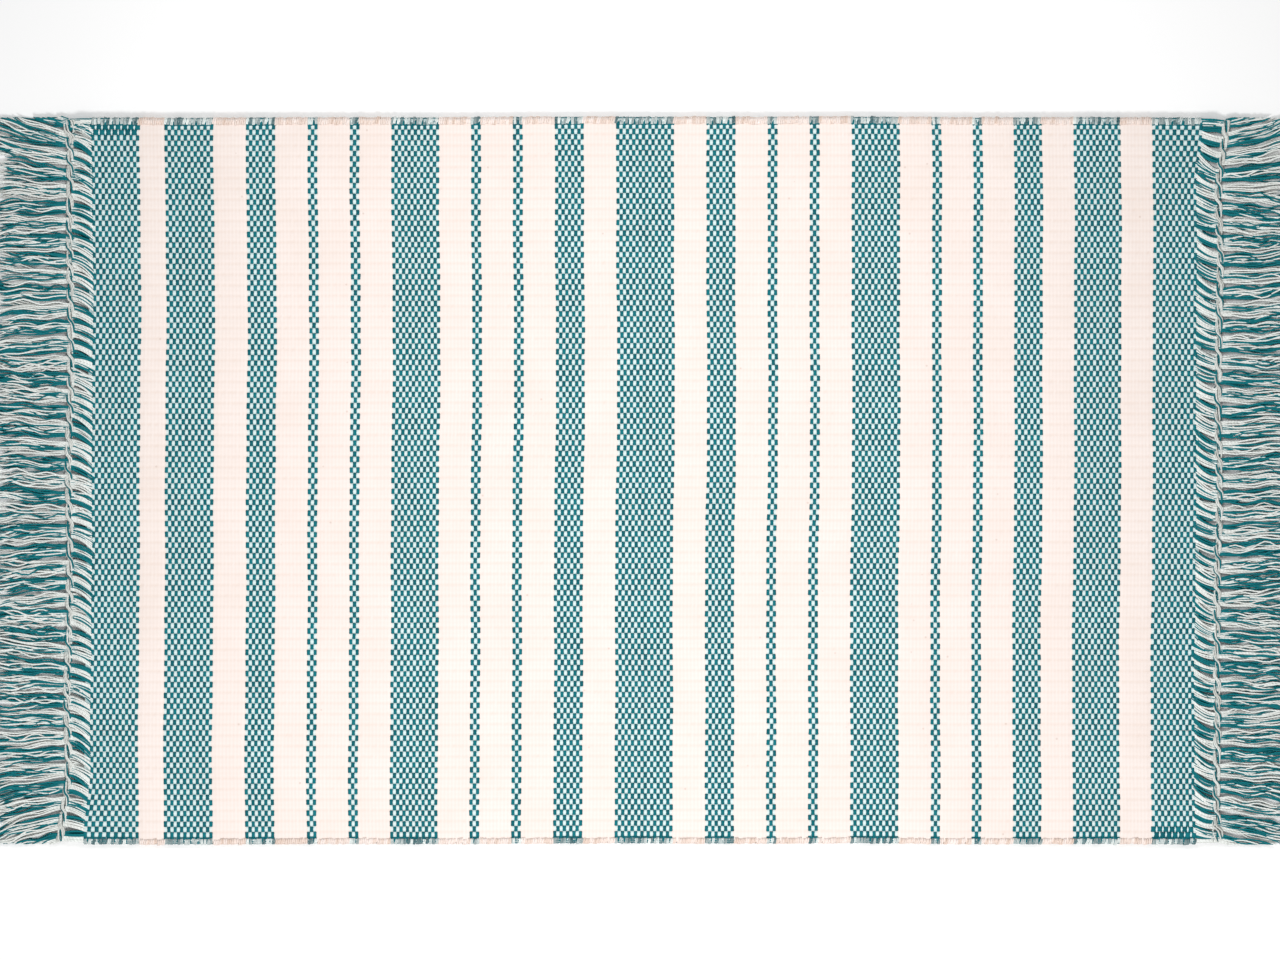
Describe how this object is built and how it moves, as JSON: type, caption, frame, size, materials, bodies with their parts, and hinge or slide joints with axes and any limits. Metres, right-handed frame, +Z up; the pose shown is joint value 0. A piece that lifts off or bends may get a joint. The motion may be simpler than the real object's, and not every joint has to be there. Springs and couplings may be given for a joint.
{
  "type": "bath mat",
  "caption": "Hand-woven striped cotton bath mat with teal check bands, cream bands, twined end cords and fringes, which folds along its middle.",
  "frame": {"origin": "centre of the footprint, on the surface that the mat lies on", "axes": "+X along the mat's length (the warp) towards its right fringe, +Y across its width, +Z up from the surface that it lies on"},
  "size_m": [0.9, 0.5, 0.007],
  "materials": {
    "teal_yarn": "matte woven cotton",
    "cream_yarn": "matte woven cotton",
    "mixed_yarn": "matte twisted cotton yarn"
  },
  "bodies": {
    "centre": {"teal_check_band_10": "teal_yarn", "near_selvedge_middle": "cream_yarn", "far_selvedge_middle": "cream_yarn"},
    "left_half": {"teal_check_band_01": "teal_yarn", "teal_check_band_02": "teal_yarn", "teal_check_band_03": "teal_yarn", "teal_check_band_04": "teal_yarn", "teal_check_band_05": "teal_yarn", "teal_check_band_06": "teal_yarn", "teal_check_band_07": "teal_yarn", "teal_check_band_08": "teal_yarn", "teal_check_band_09": "teal_yarn", "cream_band_01": "cream_yarn", "cream_band_02": "cream_yarn", "cream_band_03": "cream_yarn", "cream_band_04": "cream_yarn", "cream_band_05": "cream_yarn", "cream_band_06": "cream_yarn", "cream_band_07": "cream_yarn", "cream_band_08": "cream_yarn", "cream_band_09": "cream_yarn", "near_selvedge_left": "cream_yarn", "far_selvedge_left": "cream_yarn", "left_heading": "mixed_yarn", "left_twined_cord": "mixed_yarn"},
    "right_half": {"teal_check_band_11": "teal_yarn", "teal_check_band_12": "teal_yarn", "teal_check_band_13": "teal_yarn", "teal_check_band_14": "teal_yarn", "teal_check_band_15": "teal_yarn", "teal_check_band_16": "teal_yarn", "teal_check_band_17": "teal_yarn", "teal_check_band_18": "teal_yarn", "teal_check_band_19": "teal_yarn", "cream_band_10": "cream_yarn", "cream_band_11": "cream_yarn", "cream_band_12": "cream_yarn", "cream_band_13": "cream_yarn", "cream_band_14": "cream_yarn", "cream_band_15": "cream_yarn", "cream_band_16": "cream_yarn", "cream_band_17": "cream_yarn", "cream_band_18": "cream_yarn", "near_selvedge_right": "cream_yarn", "far_selvedge_right": "cream_yarn", "right_heading": "mixed_yarn", "right_twined_cord": "mixed_yarn"},
    "left_fringe": {"left_fringe": "mixed_yarn"},
    "right_fringe": {"right_fringe": "mixed_yarn"}
  },
  "joints": [
    {"name": "left_fold", "type": "hinge", "parent": "centre", "child": "left_half", "pos_m": [-0.0198, 0, 0.003], "axis": [0, 1, 0], "range_deg": [-80, 80]},
    {"name": "right_fold", "type": "hinge", "parent": "centre", "child": "right_half", "pos_m": [0.0198, 0, 0.003], "axis": [0, -1, 0], "range_deg": [-80, 80]},
    {"name": "left_fringe_flap", "type": "hinge", "parent": "left_half", "child": "left_fringe", "pos_m": [-0.39523, 0, 0.0035], "axis": [0, 1, 0], "range_deg": [-90, 90]},
    {"name": "right_fringe_flap", "type": "hinge", "parent": "right_half", "child": "right_fringe", "pos_m": [0.3937, 0, 0.0035], "axis": [0, -1, 0], "range_deg": [-90, 90]}
  ]
}
